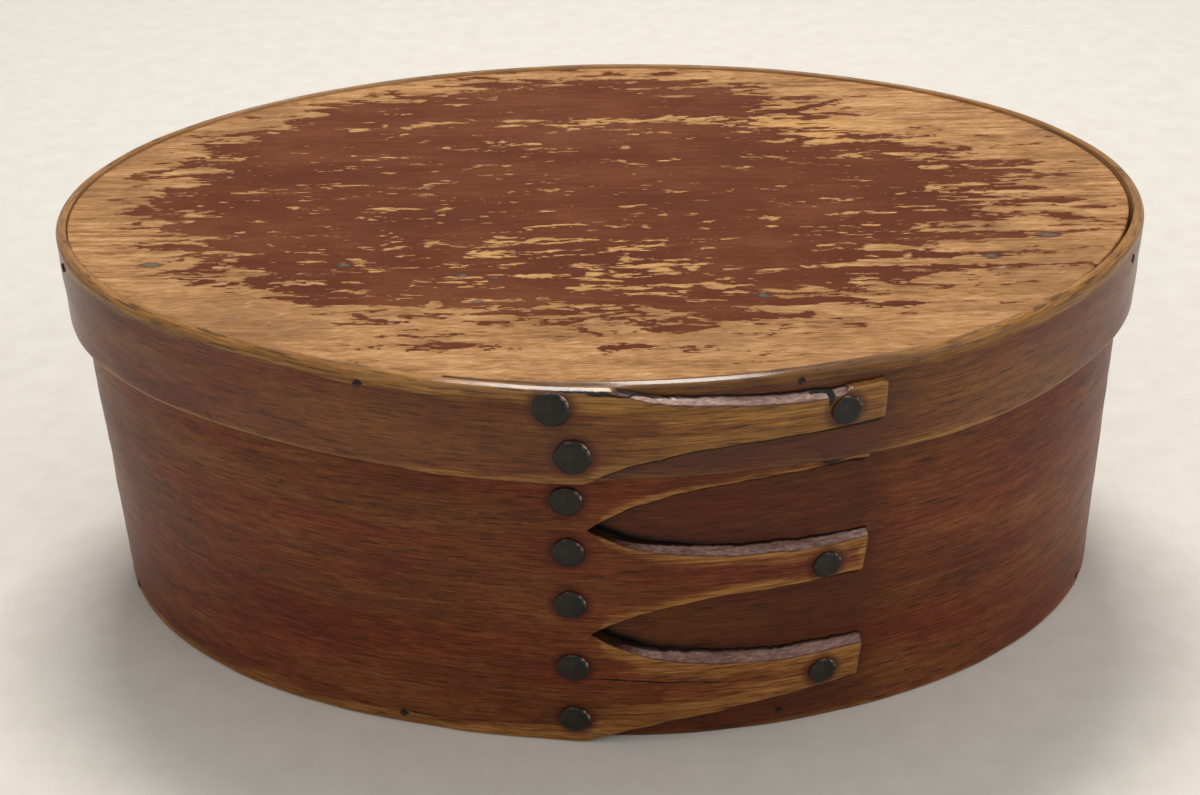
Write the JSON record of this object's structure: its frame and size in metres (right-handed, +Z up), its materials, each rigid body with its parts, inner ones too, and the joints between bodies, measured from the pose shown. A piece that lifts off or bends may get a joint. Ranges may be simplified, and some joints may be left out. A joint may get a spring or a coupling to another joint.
{
  "type": "bentwood oval box",
  "caption": "Oval bentwood box: a bent maple band lapped in long tacked fingers round a pine bottom, and a shallow lift-off lid of the same make.",
  "frame": {"origin": "on the surface the box stands on, under the middle of its oval", "axes": "+Z up through the lid; +X along the oval's length, the way the fingertips point; -Y towards the lapped front"},
  "size_m": [0.1808, 0.1275, 0.0684],
  "materials": {
    "base_maple": "old oiled maple, dark red-brown, worn smooth",
    "bottom_pine": "bare planed pine",
    "lid_maple": "old oiled maple, golden at its rim",
    "painted_pine": "pine with worn dark red-brown paint",
    "copper": "copper tack darkened by age",
    "sprig_iron": "dark iron sprig"
  },
  "bodies": {
    "base": {"base_band": "base_maple", "bottom_board": "bottom_pine", "base_root_tack_1": "copper", "base_root_tack_2": "copper", "base_root_tack_3": "copper", "base_root_tack_4": "copper", "base_root_tack_5": "copper", "base_root_tack_6": "copper", "base_tip_tack_1": "copper", "base_tip_tack_2": "copper", "base_tip_tack_3": "copper", "base_sprig_1": "sprig_iron", "base_sprig_2": "sprig_iron", "base_sprig_3": "sprig_iron", "base_sprig_4": "sprig_iron", "base_sprig_5": "sprig_iron", "base_sprig_6": "sprig_iron", "base_sprig_7": "sprig_iron", "base_sprig_8": "sprig_iron"},
    "lid": {"lid_band": "lid_maple", "top_board": "painted_pine", "lid_tip_tack": "copper", "lid_root_tack_1": "copper", "lid_root_tack_2": "copper", "lid_sprig_1": "sprig_iron", "lid_sprig_2": "sprig_iron", "lid_sprig_3": "sprig_iron", "lid_sprig_4": "sprig_iron", "lid_sprig_5": "sprig_iron", "lid_sprig_6": "sprig_iron", "lid_sprig_7": "sprig_iron", "lid_sprig_8": "sprig_iron"}
  },
  "joints": [
    {"name": "lid_lift", "type": "slide", "parent": "base", "child": "lid", "axis": [0, 0, 1], "range_m": [0, 0.08]}
  ]
}
